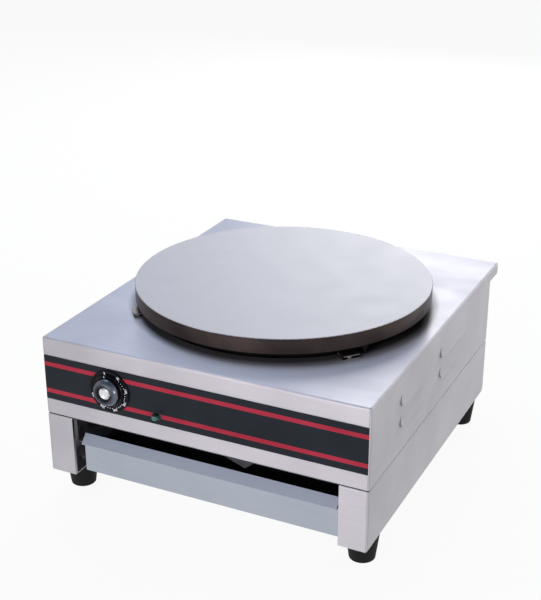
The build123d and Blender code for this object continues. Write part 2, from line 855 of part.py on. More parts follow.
for element_name, ring_radius in element_rings.items():
    # the ring stops where its tangent, after the bend, comes down at the leg's place
    leg_reach = math.hypot(ring_radius, leg_bend)
    gap_angle = math.degrees(math.asin(leg_offset / leg_reach) + math.atan2(leg_bend, ring_radius))
    turn = math.radians(gap_angle)
    end_x = ring_radius * math.sin(turn)
    end_y = y_plate - ring_radius * math.cos(turn)
    bend_45 = leg_bend * math.sin(math.radians(45))
    bend_x = end_x - bend_45 * math.cos(turn)
    bend_y = end_y - bend_45 * math.sin(turn)
    bend_z = z_elements - leg_bend + bend_45
    leg_y = leg_places(ring_radius)[0][1]
    z_bend_end = z_elements - leg_bend
    with BuildPart() as element:
        with BuildLine():
            Line((leg_offset, leg_y, leg_bottom), (leg_offset, leg_y, z_bend_end))
            ThreePointArc(
                (leg_offset, leg_y, z_bend_end),
                (bend_x, bend_y, bend_z),
                (end_x, end_y, z_elements),
            )
            ThreePointArc(
                (end_x, end_y, z_elements),
                (0, y_plate + ring_radius, z_elements),
                (-end_x, end_y, z_elements),
            )
            ThreePointArc(
                (-end_x, end_y, z_elements),
                (-bend_x, bend_y, bend_z),
                (-leg_offset, leg_y, z_bend_end),
            )
            Line((-leg_offset, leg_y, z_bend_end), (-leg_offset, leg_y, leg_bottom))
        with BuildSketch(Plane(origin=(leg_offset, leg_y, leg_bottom), z_dir=(0, 0, 1))):
            Circle(element_radius)
        sweep()
        with BuildSketch(Plane.XY.offset(leg_bottom)):
            with Locations(*leg_places(ring_radius)):
                Circle(pin_radius)
        extrude(amount=-pin_length)
    element.part.label = element_name
    export_step(element.part, f"parts/{element_name}.step")

with BuildPart() as element_clamp:
    for turn in (clamp_angle, -clamp_angle):
        with BuildSketch(Plane.XY.offset(z_clamp)):
            with Locations((0, y_plate)):
                SlotOverall(clamp_length, clamp_width, rotation=turn)
        extrude(amount=clamp_thickness)
    with BuildSketch(Plane.XY.offset(z_clamp)):
        with Locations(*studs):
            Circle(stud_radius)
    extrude(amount=clamp_thickness, mode=Mode.SUBTRACT)
element_clamp.part.label = "element_clamp"
export_step(element_clamp.part, "parts/element_clamp.step")

with BuildPart() as plate_studs:
    with BuildSketch(Plane.XY.offset(z_pan - stud_tail)):
        with Locations(*studs):
            Circle(stud_radius)
    extrude(amount=z_heater + stud_seat - z_pan + stud_tail)
plate_studs.part.label = "plate_studs"
export_step(plate_studs.part, "parts/plate_studs.step")

for nut_name, nut_top in (("clamp_nuts", z_clamp), ("pan_nuts", z_pan)):
    with BuildPart() as nuts:
        with BuildSketch(Plane.XY.offset(nut_top)):
            with Locations(*studs):
                RegularPolygon(nut_flats / 2, 6, major_radius=False)
                Circle(stud_radius, mode=Mode.SUBTRACT)
        extrude(amount=-nut_thickness)
    nuts.part.label = nut_name
    export_step(nuts.part, f"parts/{nut_name}.step")

with BuildPart() as terminal_bushings:
    with BuildSketch(Plane.XY.offset(z_pan)):
        with Locations(*legs):
            Circle(bushing_flange)
    extrude(amount=-bushing_flange_thickness)
    with BuildSketch(Plane.XY.offset(z_pan)):
        with Locations(*legs):
            Circle(bushing_radius)
    extrude(amount=bushing_rise)
    with BuildSketch(Plane.XY.offset(z_pan - bushing_flange_thickness)):
        with Locations(*legs):
            Circle(element_radius)
    extrude(amount=bushing_flange_thickness + bushing_rise, mode=Mode.SUBTRACT)
terminal_bushings.part.label = "terminal_bushings"
export_step(terminal_bushings.part, "parts/terminal_bushings.step")

outer_leg_y = leg_places(element_rings["element_outer"])[0][1]
inner_leg_y = leg_places(element_rings["element_inner"])[0][1]
z_links = leg_bottom - pin_length / 2
link_front = outer_leg_y - link_overhang
link_back = inner_leg_y + link_width / 2

with BuildPart() as terminal_links:
    with BuildSketch(Plane.XY.offset(z_links)):
        with Locations((0, (link_front + link_back) / 2)):
            with GridLocations(2 * leg_offset, 0, 2, 1):
                Rectangle(link_width, link_back - link_front)
        with Locations(*legs):
            Circle(pin_radius, mode=Mode.SUBTRACT)
    extrude(amount=link_thickness)
terminal_links.part.label = "terminal_links"
export_step(terminal_links.part, "parts/terminal_links.step")

# ------------------------------------------------------------ sensor bulb, clip and capillary

z_bulb = z_heater - bulb_radius - element_gap
y_bulb = y_plate - bulb_circle
clip_outer = bulb_radius + clip_sheet

with BuildPart() as sensor_bulb:
    with BuildSketch(Plane.YZ.offset(-bulb_length / 2)):
        with Locations((y_bulb, z_bulb)):
            Circle(bulb_radius)
    extrude(amount=bulb_length)
sensor_bulb.part.label = "sensor_bulb"
export_step(sensor_bulb.part, "parts/sensor_bulb.step")

with BuildPart() as bulb_clip:
    with BuildSketch(Plane.YZ.offset(-clip_width / 2)):
        with Locations((y_bulb, z_bulb)):
            Circle(clip_outer)
            Rectangle(2 * clip_outer, z_heater - z_bulb, align=(Align.CENTER, Align.MIN))
        with Locations((y_bulb, z_heater)):
            Rectangle(2 * (clip_outer + clip_foot), clip_sheet, align=(Align.CENTER, Align.MAX))
        with Locations((y_bulb, z_heater)):
            Rectangle(
                2 * clip_outer,
                clip_outer,
                align=(Align.CENTER, Align.MIN),
                mode=Mode.SUBTRACT,
            )
        with Locations((y_bulb, z_bulb)):
            Circle(bulb_radius, mode=Mode.SUBTRACT)
            Rectangle(
                2 * bulb_radius,
                clip_outer,
                align=(Align.CENTER, Align.MIN),
                mode=Mode.SUBTRACT,
            )
    extrude(amount=clip_width)
bulb_clip.part.label = "bulb_clip"
export_step(bulb_clip.part, "parts/bulb_clip.step")

z_capillary_port = z_knob + thermostat_height / 2 - 2 * capillary_radius

with BuildPart() as capillary_tube:
    with BuildLine() as capillary_route:
        FilletPolyline(
            (-bulb_length / 2, y_bulb, z_bulb),
            (capillary_xy[0], y_bulb, z_bulb),
            (capillary_xy[0], y_bulb, z_capillary_port),
            (knob_x, thermostat_back + capillary_lead, z_capillary_port),
            (knob_x, thermostat_back, z_capillary_port),
            radius=capillary_bend,
        )
    with BuildSketch(Plane(origin=capillary_route.line @ 0, z_dir=capillary_route.line % 0)):
        Circle(capillary_radius)
    sweep()
capillary_tube.part.label = "capillary_tube"
export_step(capillary_tube.part, "parts/capillary_tube.step")

# ------------------------------------------------------------ brackets and bolts under the griddle's rim

bracket_web = housing_hole_radius + bracket_inset
corner_names = ("rear_right", "rear_left", "front_left", "front_right")

for corner_name, angle in zip(corner_names, mirrored_angles(bracket_angle)):
    turn = math.radians(angle)
    radial_plane = Plane(
        origin=(0, y_plate, z_top),
        x_dir=(math.cos(turn), math.sin(turn), 0),
        z_dir=(math.sin(turn), -math.cos(turn), 0),
    )
    with BuildPart() as bracket:
        with BuildSketch(radial_plane):
            with Locations((bracket_web, 0)):
                Rectangle(bracket_reach - bracket_web, bracket_sheet, align=(Align.MIN, Align.MIN))
                Rectangle(bracket_sheet, bracket_height, align=(Align.MIN, Align.MIN))
            with Locations((pan_radius + bracket_clearance, bracket_height)):
                Rectangle(
                    bracket_reach - pan_radius - bracket_clearance,
                    bracket_sheet,
                    align=(Align.MIN, Align.MAX),
                )
        extrude(amount=bracket_width / 2, both=True)
        with BuildSketch(Plane.XY.offset(z_top)):
            with Locations(around_plate(bracket_screw_circle, angle)):
                Circle(screw_radius)
        extrude(amount=bracket_sheet, mode=Mode.SUBTRACT)
    bracket.part.label = f"plate_bracket_{corner_name}"
    export_step(bracket.part, f"parts/plate_bracket_{corner_name}.step")

with BuildPart() as bracket_screws:
    with BuildSketch(Plane.XY.offset(z_top + bracket_sheet)):
        with Locations(*bracket_screws_xy):
            Circle(screw_head)
    extrude(amount=screw_head_height)
    with BuildSketch(Plane.XY.offset(z_top + bracket_sheet)):
        with Locations(*bracket_screws_xy):
            Circle(screw_radius)
    extrude(amount=-(bracket_sheet + sheet + screw_bite))
bracket_screws.part.label = "bracket_screws"
export_step(bracket_screws.part, "parts/bracket_screws.step")

with BuildPart() as level_bolts:
    with BuildSketch(Plane.XY.offset(z_plate_bottom)):
        with Locations(*level_bolts_xy):
            Circle(level_bolt_radius)
    extrude(amount=-(z_plate_bottom - z_top + sheet + screw_bite))
    with BuildSketch(Plane.XY.offset(z_plate_bottom)):
        with Locations(*level_bolts_xy):
            RegularPolygon(level_bolt_head, 6)
    extrude(amount=-level_bolt_head_height)
level_bolts.part.label = "level_bolts"
export_step(level_bolts.part, "parts/level_bolts.step")

# ------------------------------------------------------------ base sides, back and screws

base_inner = half_width - post_width

for side, side_name in ((-1, "left"), (1, "right")):
    with BuildPart() as base_side:
        with BuildSketch(Plane.XY.offset(z_base)):
            with Locations((side * (base_inner + half_width) / 2, y_middle)):
                Rectangle(post_width, body_depth)
        extrude(amount=base_height)
        rear_edges = base_side.edges().filter_by(Axis.X).group_by(Axis.Y)[-1]
        fillet(rear_edges.sort_by(Axis.Z)[0], radius=base_corner)
        outer_face = base_side.faces().sort_by(Axis.X)[-1 if side > 0 else 0]
        fillet(outer_face.edges().filter_by(Axis.Z), radius=bend_radius)
        top_face = base_side.faces().sort_by(Axis.Z)[-1]
        fillet(top_face.edges().sort_by(Axis.X, reverse=side < 0)[1:], radius=base_bend)
        opening = base_side.faces().sort_by(Axis.X)[0 if side > 0 else -1]
        offset(amount=-sheet, openings=opening)
        # a narrow hem along the front post's inner edge, and a wider return at the rear post
        with BuildSketch(Plane.XY.offset(z_base)):
            with Locations((side * base_inner, y_front)):
                Rectangle(sheet, post_hem, align=(Align.MIN if side > 0 else Align.MAX, Align.MIN))
        extrude(amount=base_height - base_bend)
        with BuildSketch(Plane.XY.offset(z_base + base_corner)):
            with Locations((side * base_inner, y_back)):
                Rectangle(sheet, post_return, align=(Align.MIN if side > 0 else Align.MAX, Align.MAX))
        extrude(amount=base_height - base_corner - base_bend)
        # holes for the foot screws below and the housing screws above
        foot_xs = side * (half_width - foot_inset)
        with BuildSketch(Plane.XY.offset(z_base)):
            with Locations((foot_xs, y_front + foot_setback), (foot_xs, y_back - foot_setback)):
                Circle(foot_screw_radius)
        extrude(amount=sheet, mode=Mode.SUBTRACT)
        with BuildSketch(Plane.XY.offset(z_housing)):
            with Locations(*[(x, y) for x, y in base_screws_xy if side * x > 0]):
                Circle(screw_radius)
        extrude(amount=-sheet, mode=Mode.SUBTRACT)
    base_side.part.label = f"base_side_{side_name}"
    export_step(base_side.part, f"parts/base_side_{side_name}.step")

with BuildPart() as base_back_panel:
    with BuildSketch(Plane.XY.offset(z_housing)):
        with Locations((0, y_back)):
            Rectangle(2 * base_inner, post_return, align=(Align.CENTER, Align.MAX))
        with Locations((0, y_back - sheet)):
            Rectangle(
                2 * (base_inner - sheet),
                post_return,
                align=(Align.CENTER, Align.MAX),
                mode=Mode.SUBTRACT,
            )
    extrude(amount=-(base_height - base_back_gap))
base_back_panel.part.label = "base_back_panel"
export_step(base_back_panel.part, "parts/base_back_panel.step")

with BuildPart() as base_screws:
    with BuildSketch(Plane.XY.offset(z_housing - sheet)):
        with Locations(*base_screws_xy):
            Circle(screw_head)
    extrude(amount=-screw_head_height)
    with BuildSketch(Plane.XY.offset(z_housing - sheet)):
        with Locations(*base_screws_xy):
            Circle(screw_radius)
    extrude(amount=2 * sheet + screw_bite)
base_screws.part.label = "base_screws"
export_step(base_screws.part, "parts/base_screws.step")

# ------------------------------------------------------------ feet

foot_places = {
    "front_left": (-(half_width - foot_inset), y_front + foot_setback),
    "front_right": (half_width - foot_inset, y_front + foot_setback),
    "rear_left": (-(half_width - foot_inset), y_back - foot_setback),
    "rear_right": (half_width - foot_inset, y_back - foot_setback),
}

for corner_name, (foot_x, foot_y) in foot_places.items():
    with BuildPart() as foot:
        with BuildSketch(Plane.XY):
            with Locations((foot_x, foot_y)):
                Circle(foot_bottom_radius)
        with BuildSketch(Plane.XY.offset(foot_height)):
            with Locations((foot_x, foot_y)):
                Circle(foot_top_radius)
        loft()
        fillet(foot.edges().sort_by(Axis.Z)[0], radius=foot_edge)
        with BuildSketch(Plane.XY):
            with Locations((foot_x, foot_y)):
                Circle(foot_pocket_radius)
        extrude(amount=foot_pocket_depth, mode=Mode.SUBTRACT)
        with BuildSketch(Plane.XY):
            with Locations((foot_x, foot_y)):
                Circle(foot_screw_radius)
        extrude(amount=foot_height, mode=Mode.SUBTRACT)
    foot.part.label = f"foot_{corner_name}"
    export_step(foot.part, f"parts/foot_{corner_name}.step")

with BuildPart() as foot_screws:
    with BuildSketch(Plane.XY.offset(foot_pocket_depth)):
        with Locations(*foot_places.values()):
            Circle(foot_head_radius)
    extrude(amount=-foot_head_height)
    with BuildSketch(Plane.XY.offset(foot_pocket_depth)):
        with Locations(*foot_places.values()):
            Circle(foot_screw_radius)
    extrude(amount=foot_height - foot_pocket_depth + sheet + foot_nut_thickness)
foot_screws.part.label = "foot_screws"
export_step(foot_screws.part, "parts/foot_screws.step")

with BuildPart() as foot_nuts:
    with BuildSketch(Plane.XY.offset(z_base + sheet)):
        with Locations(*foot_places.values()):
            RegularPolygon(foot_nut_flats / 2, 6, major_radius=False)
            Circle(foot_screw_radius, mode=Mode.SUBTRACT)
    extrude(amount=foot_nut_thickness)
foot_nuts.part.label = "foot_nuts"
export_step(foot_nuts.part, "parts/foot_nuts.step")

# ------------------------------------------------------------ drip tray

y_tray = y_front + tray_setback
y_lip = y_tray - tray_lip_overhang
z_tray = z_base + tray_floor_gap
z_lip = z_housing - tray_top_gap
tray_front_height = z_lip - z_tray
tray_lip_width = 2 * (base_inner - tray_side_gap)
tray_front_width = tray_lip_width - tray_left_tip - tray_right_tip
tray_pan_width = tray_lip_width - 2 * tray_flange
y_pan = y_tray + tray_sheet
tray_pan_length = y_back - tray_back_gap - y_pan
lip_rise = math.atan2(tray_lip_height, tray_lip_depth)
lip_dy = tray_sheet * math.sin(lip_rise)
lip_dz = tray_sheet * math.cos(lip_rise)

with BuildPart() as tray_front:
    with BuildSketch(Plane.YZ.offset(tray_shift - tray_lip_width / 2 + tray_left_tip)):
        with Locations((y_tray, z_tray)):
            Rectangle(tray_sheet, tray_front_height, align=(Align.MIN, Align.MIN))
    extrude(amount=tray_front_width)
    # sloping lip, folded forwards and then back over the top, which is the tray's pull
    with BuildSketch(Plane.YZ.offset(tray_shift - tray_lip_width / 2)):
        with BuildLine():
            Polyline(
                (y_lip, z_lip - tray_sheet),
                (y_lip, z_lip),
                (y_lip + tray_lip_depth, z_lip + tray_lip_height),
                (y_lip + tray_lip_depth + lip_dy, z_lip + tray_lip_height - lip_dz),
                (y_lip + lip_dy + lip_dz, z_lip),
                (y_pan, z_lip),
                (y_pan, z_lip - tray_sheet),
                close=True,
            )
        make_face()
    extrude(amount=tray_lip_width)
tray_front.part.label = "tray_front"
export_step(tray_front.part, "parts/tray_front.step")

with BuildPart() as tray_pan:
    with BuildSketch(Plane.XY.offset(z_tray + tray_pan_lift)):
        with Locations((tray_shift, y_pan + tray_pan_length / 2)):
            Rectangle(tray_pan_width, tray_pan_length)
    extrude(amount=tray_front_height - tray_pan_lift - tray_sheet)
    fillet(tray_pan.edges().filter_by(Axis.Z), radius=tray_corner)
    fillet(tray_pan.faces().sort_by(Axis.Z)[0].edges(), radius=tray_corner / 2)
    offset(amount=-tray_sheet, openings=tray_pan.faces().sort_by(Axis.Z)[-1])
    # flanges along both sides, which slide on the runners
    with BuildSketch(Plane.XY.offset(z_lip - 2 * tray_sheet)):
        for side in (-1, 1):
            with Locations((tray_shift + side * tray_lip_width / 2, y_pan + tray_corner)):
                Rectangle(
                    (tray_lip_width - tray_pan_width) / 2 + tray_sheet,
                    tray_pan_length - 2 * tray_corner,
                    align=(Align.MIN if side < 0 else Align.MAX, Align.MIN),
                )
    extrude(amount=tray_sheet)
tray_pan.part.label = "tray_pan"
export_step(tray_pan.part, "parts/tray_pan.step")

# ------------------------------------------------------------ runners

z_runner = z_lip - 2 * tray_sheet - runner_play

for side, side_name in ((-1, "left"), (1, "right")):
    inward = Align.MAX if side > 0 else Align.MIN
    with BuildPart() as runner:
        with BuildSketch(Plane.XZ.offset(-(y_front + post_return))):
            with Locations((side * (base_inner + sheet), z_runner)):
                Rectangle(runner_ledge, sheet, align=(inward, Align.MAX))
            with Locations((side * (base_inner + sheet), z_runner - sheet)):
                Rectangle(sheet, z_housing - z_runner, align=(inward, Align.MIN))
        extrude(amount=-(body_depth - 2 * post_return))
    runner.part.label = f"runner_{side_name}"
    export_step(runner.part, f"parts/runner_{side_name}.step")

# ------------------------------------------------------------ terminal block and wires

z_floor = z_housing + sheet
block_y = y_back - block_gap

with BuildPart() as terminal_block:
    with BuildSketch(Plane.XY.offset(z_floor)):
        with Locations((gland_x, block_y)):
            RectangleRounded(block_width, block_depth, block_corner)
    extrude(amount=block_height)
terminal_block.part.label = "terminal_block"
export_step(terminal_block.part, "parts/terminal_block.step")

# each wire: its section's radius and its bends' radius, then its route
block_front = block_y - block_depth / 2
z_wire = z_floor + wire_height
blade_end = thermostat_back + blade_length
blade_left = knob_x - blade_spread / 2
blade_right = knob_x + blade_spread / 2
z_link_wire = z_links + link_thickness / 2
lamp_back = y_lamp + lamp_length
live_x = gland_x - block_pitch
earth_x = gland_x + block_pitch
y_turn = (blade_end + link_front) / 2
y_lead = outer_leg_y + lead_slack

wires = {
    "wire_live": (
        (wire_radius, wire_bend),
        (live_x, block_front, z_wire),
        (live_x, y_turn + live_rise, z_wire),
        (blade_left, y_turn, z_knob),
        (blade_left, blade_end, z_knob),
    ),
    "wire_load": (
        (wire_radius, wire_bend),
        (blade_right, blade_end, z_knob),
        (blade_right, y_turn, z_knob),
        (-leg_offset, y_turn, z_link_wire),
        (-leg_offset, link_front, z_link_wire),
    ),
    "wire_neutral": (
        (wire_radius, wire_bend),
        (gland_x, block_front, z_wire),
        (gland_x, y_turn + neutral_rise, z_link_wire - neutral_climb),
        (leg_offset, y_turn, z_link_wire),
        (leg_offset, link_front, z_link_wire),
    ),
    "wire_earth": (
        (wire_radius, earth_bend),
        (earth_x, block_front, z_wire),
        (earth_x, block_front - earth_reach, z_wire),
        (earth_x, block_front - earth_reach, z_floor),
    ),
    "lamp_lead_left": (
        (lead_radius, lead_bend),
        (lamp_x - lead_spread / 2, lamp_back, z_lamp),
        (lamp_x - lead_spread / 2, lamp_back + lead_slack, z_lamp),
        (-leg_offset, y_lead, z_lamp + lead_rise),
        (-leg_offset, y_lead, z_links),
    ),
    "lamp_lead_right": (
        (lead_radius, lead_bend),
        (lamp_x + lead_spread / 2, lamp_back, z_lamp),
        (lamp_x + lead_spread / 2, lamp_back + lead_slack, z_lamp),
        (leg_offset, y_lead, z_lamp + lead_rise),
        (leg_offset, y_lead, z_links),
    ),
}

for wire_name, ((section_radius, bend), *wire_points) in wires.items():
    with BuildPart() as wire:
        with BuildLine() as route:
            FilletPolyline(*wire_points, radius=bend)
        with BuildSketch(Plane(origin=route.line @ 0, z_dir=route.line % 0)):
            Circle(section_radius)
        sweep()
    wire.part.label = wire_name
    export_step(wire.part, f"parts/{wire_name}.step")
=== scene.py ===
# %% [markdown]
# # An electric crepe maker
#
# The object is a low stainless steel box with a round cast-iron griddle on top. Its solid
# parts come ready made from the CAD model, and this script gives them their looks: it adds the
# small pieces that CAD leaves plain, finishes every surface, and sets up the light and camera.
# The first cell loads the solid model as a fixed frame. Everything is in metres, with +X to the
# right, +Y to the back and +Z up.

# %% Load the solid model
import bpy
import json
import math
import numpy as np
from mathutils import Matrix, Vector


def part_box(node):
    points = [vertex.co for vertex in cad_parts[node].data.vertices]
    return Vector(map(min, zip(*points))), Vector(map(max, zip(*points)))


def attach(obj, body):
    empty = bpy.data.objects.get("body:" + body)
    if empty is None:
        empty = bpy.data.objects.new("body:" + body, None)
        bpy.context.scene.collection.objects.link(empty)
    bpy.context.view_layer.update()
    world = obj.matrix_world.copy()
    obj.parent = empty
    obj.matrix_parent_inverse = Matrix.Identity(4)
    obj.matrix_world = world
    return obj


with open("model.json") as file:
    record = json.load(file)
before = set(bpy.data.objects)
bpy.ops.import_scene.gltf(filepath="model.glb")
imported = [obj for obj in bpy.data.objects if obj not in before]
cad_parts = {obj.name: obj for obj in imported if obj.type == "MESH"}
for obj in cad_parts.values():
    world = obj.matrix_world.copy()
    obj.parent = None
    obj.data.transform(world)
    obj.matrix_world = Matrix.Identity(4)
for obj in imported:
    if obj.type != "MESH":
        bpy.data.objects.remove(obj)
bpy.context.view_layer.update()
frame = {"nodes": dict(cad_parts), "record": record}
nodes = frame["nodes"]
MM = 0.001
print("solid parts:", len(nodes))

# %% [markdown]
# ## Camera
#
# The camera stands to the front right of the object and a little above it, as a person does who
# looks at it on a counter. It could be aimed with a Track To constraint, but a matrix of three
# directions says exactly how it stands, and nothing moves it later. A long lens of 74 mm keeps the
# sides of the box nearly parallel.

# %% Camera
CAMERA_PLACE = (0.66127, -1.40084, 0.89071)
CAMERA_RIGHT = (0.89989154, 0.43610966, -0.00189249)
CAMERA_DOWN = (0.17031441, -0.35542391, -0.91905758)
CAMERA_FORWARD = (-0.40148253, 0.82672983, -0.39411873)
CAMERA_LENS = 74.43

camera_data = bpy.data.cameras.new("camera")
camera_data.lens = CAMERA_LENS
camera_data.sensor_width = 36.0
camera_data.clip_start = 0.05
camera_data.clip_end = 60.0
camera = bpy.data.objects.new("camera", camera_data)
turn = Matrix((CAMERA_RIGHT, -Vector(CAMERA_DOWN), -Vector(CAMERA_FORWARD))).transposed()
camera.matrix_world = Matrix.Translation(CAMERA_PLACE) @ turn.to_4x4()
bpy.context.scene.collection.objects.link(camera)
bpy.context.scene.camera = camera
print("camera", [round(value, 3) for value in camera.location])

# %% [markdown]
# ## Colours and shader nodes
#
# Colours are written as the usual six-digit screen values. Blender calculates in linear light, so
# one function turns each value into linear numbers. A second one adds a shader node: each input
# of it is either a number, which is set on its socket, or another node's output, which is linked.

# %% Colour and node helpers
def srgb(code):
    """Linear RGBA of a screen colour: c/12.92 below 0.04045, else ((c + 0.055) / 1.055)^2.4."""
    screen = np.array([int(code[i:i + 2], 16) for i in (1, 3, 5)]) / 255
    linear = np.where(screen <= 0.04045, screen / 12.92, ((screen + 0.055) / 1.055) ** 2.4)
    return (*linear.tolist(), 1.0)


def add_node(tree, kind, inputs=None, **settings):
    """Adds a shader node, sets its settings, and sets or links each of its inputs."""
    made = tree.nodes.new("ShaderNode" + kind)
    for name, value in settings.items():
        setattr(made, name, value)
    for socket, value in (inputs or {}).items():
        if isinstance(value, bpy.types.NodeSocket):
            tree.links.new(value, made.inputs[socket])
        else:
            made.inputs[socket].default_value = value
    return made


print("steel grey in linear light:", [round(value, 3) for value in srgb("#b9b8bd")])

# %% [markdown]
# ## Materials and patterns
#
# Every finish starts from an empty node tree and the place of a point on its piece, and ends in one
# Principled surface. Noise makes the pattern between them, and its scale is worked out from the
# real size of a grain in millimetres. A Map Range node then stretches the values that noise takes,
# mostly 0.3 to 0.7, to the wanted colours or roughness. Pictures of real metal could serve too,
# but they would need unwrapped meshes, and they blur when the camera comes near.

# %% Materials and patterns
def empty_material(name):
    """A material whose node tree is empty, and that tree."""
    material = bpy.data.materials.new(name)
    material.use_nodes = True
    material.node_tree.nodes.clear()
    return material, material.node_tree


def start_material(name):
    """An empty material, its tree, and the place of each point on a piece."""
    material, tree = empty_material(name)
    return material, tree, add_node(tree, "TexCoord").outputs["Object"]


def finish_material(tree, surface):
    """Closes a material: its Principled surface, with these inputs, goes to the output."""
    shader = add_node(tree, "BsdfPrincipled", surface)
    add_node(tree, "OutputMaterial", {"Surface": shader.outputs[0]})


def stretched_noise(tree, place, size_mm, detail=3.0):
    """Noise whose spots are about size_mm long in x, y and z: its scale is one over that size."""
    scale = tuple(1 / (size * MM) for size in size_mm)
    mapped = add_node(tree, "Mapping", {"Vector": place, "Scale": scale}).outputs[0]
    noise = add_node(tree, "TexNoise", {"Vector": mapped, "Scale": 1.0, "Detail": detail})
    return noise.outputs["Fac"]


def ramp(value, low, high, start=0.3, end=0.7):
    """Map Range inputs that take start to low and end to high; noise lies mostly in 0.3 to 0.7."""
    return {"Value": value, "From Min": start, "From Max": end, "To Min": low, "To Max": high}


def uneven_colour(tree, value, first, second, start=0.3, end=0.7):
    """The first screen colour where a value is at start, the second at end, a blend between."""
    share = add_node(tree, "MapRange", ramp(value, 0.0, 1.0, start, end)).outputs[0]
    ends = {0: share, 6: srgb(first), 7: srgb(second)}
    return add_node(tree, "Mix", ends, data_type="RGBA").outputs[2]


def round_axis(tree, place, centre, along):
    """Place p from a centre, its part along axis 0, 1 or 2, and its distance sqrt(a^2 + b^2)
    from that axis, where a and b are its two other parts."""
    shift = tuple(-value for value in centre)
    centred = add_node(tree, "Mapping", {"Vector": place, "Location": shift}).outputs[0]
    parts = add_node(tree, "SeparateXYZ", {0: centred}).outputs
    first, second = (parts[axis] for axis in range(3) if axis != along)
    flat = add_node(tree, "CombineXYZ", {0: first, 1: second}).outputs[0]
    radius = add_node(tree, "VectorMath", {0: flat}, operation="LENGTH").outputs["Value"]
    return centred, parts[along], radius


print("noise with grains of 1 mm has scale", 1 / MM)

# %% [markdown]
# ## Brushed stainless steel
#
# The outside of the box is AISI 304 sheet, drawn past an abrasive belt. The belt leaves scratches
# that all run one way, along the front and back, and from front to back on the sides. They throw
# light far across the grain and little along it, so a reflection is smeared up and down: the
# shader's anisotropy does that. Noise stretched along the grain adds the single scratches. The
# real ones are about 0.1 mm wide, too fine to show, so they are drawn 0.9 mm wide and 60 mm long.
# The sheet right under the griddle's edge has a soft dark ring of painted shade, standing for the
# shade of the griddle's rim.

# %% Brushed stainless steel
GRAIN_LENGTH = 60.0
GRAIN_WIDTH = 0.9
GRAIN_SHARE = 0.75
SMUDGE = 90.0
STEEL_SPAN = (0.6, 1.15)
SIDE_FACE = 0.7
PLATE_LOW, PLATE_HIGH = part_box("griddle_plate")
PLATE_MIDDLE = (PLATE_LOW + PLATE_HIGH) / 2
PLATE_CENTRE = (PLATE_MIDDLE.x, PLATE_MIDDLE.y, PLATE_HIGH.z)
# Painted shade ring under the griddle's rim: inner radius, outer radius, and the share of colour
# kept inside.
BROWNED = 196.0 * MM
CLEAN = 211.0 * MM
BURNT = 0.2


def brushed_sheet(name, dark, light, rough, smear, kept=1.0):
    """Sheet metal with grain along X, or along Y where the face looks sideways. Under
    the griddle's edge a ring of painted shade keeps this share (kept) of the colour."""
    material, tree, place = start_material(name)
    along_x = stretched_noise(tree, place, (GRAIN_LENGTH, GRAIN_WIDTH, GRAIN_WIDTH))
    along_y = stretched_noise(tree, place, (GRAIN_WIDTH, GRAIN_LENGTH, GRAIN_WIDTH))
    normal = add_node(tree, "TexCoord").outputs["Normal"]
    sideways = add_node(tree, "SeparateXYZ", {0: normal}).outputs["X"]
    size = add_node(tree, "Math", {0: sideways}, operation="ABSOLUTE").outputs[0]
    chosen = add_node(tree, "Math", {0: size, 1: SIDE_FACE}, operation="GREATER_THAN").outputs[0]
    grain = add_node(tree, "Mix", {0: chosen, 2: along_x, 3: along_y}).outputs[0]
    ways = {0: chosen, 4: (0.0, 1.0, 1.0), 5: (0.0, 0.0, 1.0)}
    across = add_node(tree, "Mix", ways, data_type="VECTOR").outputs[1]
    smudge = stretched_noise(tree, place, (SMUDGE, SMUDGE, SMUDGE), detail=2.0)
    total = {0: grain, 1: GRAIN_SHARE, 2: smudge}
    shade = add_node(tree, "Math", total, operation="MULTIPLY_ADD").outputs[0]
    bump = add_node(tree, "Bump", {"Strength": 0.12, "Distance": 0.05 * MM, "Height": grain})
    steel = uneven_colour(tree, shade, dark, light, *STEEL_SPAN)
    # Painted shade: the colour is scaled down in a ring round the griddle's axis, under its rim.
    radius = round_axis(tree, place, PLATE_CENTRE, 2)[2]
    ring = add_node(tree, "MapRange", ramp(radius, kept, 1.0, BROWNED, CLEAN)).outputs[0]
    colour = add_node(tree, "VectorMath", {0: steel, 3: ring}, operation="SCALE").outputs[0]
    gloss = add_node(tree, "MapRange", ramp(shade, rough + 0.04, rough - 0.04, *STEEL_SPAN))
    finish_material(tree, {
        "Base Color": colour,
        "Metallic": 1.0,
        "Roughness": gloss.outputs[0],
        "Anisotropic": smear,
        "Tangent": across,
        "Normal": bump.outputs[0],
    })
    return material


BOX_STEEL = ("#afadb2", "#b8b6bb", 0.46, 0.88)
stainless = brushed_sheet("brushed_stainless_steel_304", *BOX_STEEL)
# The housing's top carries the ring of painted shade under the griddle's rim.
browned_steel = brushed_sheet("brushed_stainless_steel_painted_shade", *BOX_STEEL, BURNT)
tray_steel = brushed_sheet("brushed_stainless_steel_tray", "#a1a8b2", "#abb2bc", 0.36, 0.3)
print("grain lines to the metre:", round(1 / (GRAIN_WIDTH * MM)))

# %% [markdown]
# ## Zinc and plain steel
#
# The tray's runners are hot-dip galvanised sheet, which shows spangles: crystals of zinc 5 to
# 10 mm across, each a slightly different grey. Voronoi cells have just that shape, so the cell's
# random colour drives the grey and the roughness. The screws, nuts and clips are electroplated
# instead, which gives an even, faintly blue skin. The same fine pits in other colours also serve
# for pickled, blackened and worn steel, and for drawn brass.

# %% Galvanised sheet, plated fasteners and plain steel
SPANGLE = 7.0


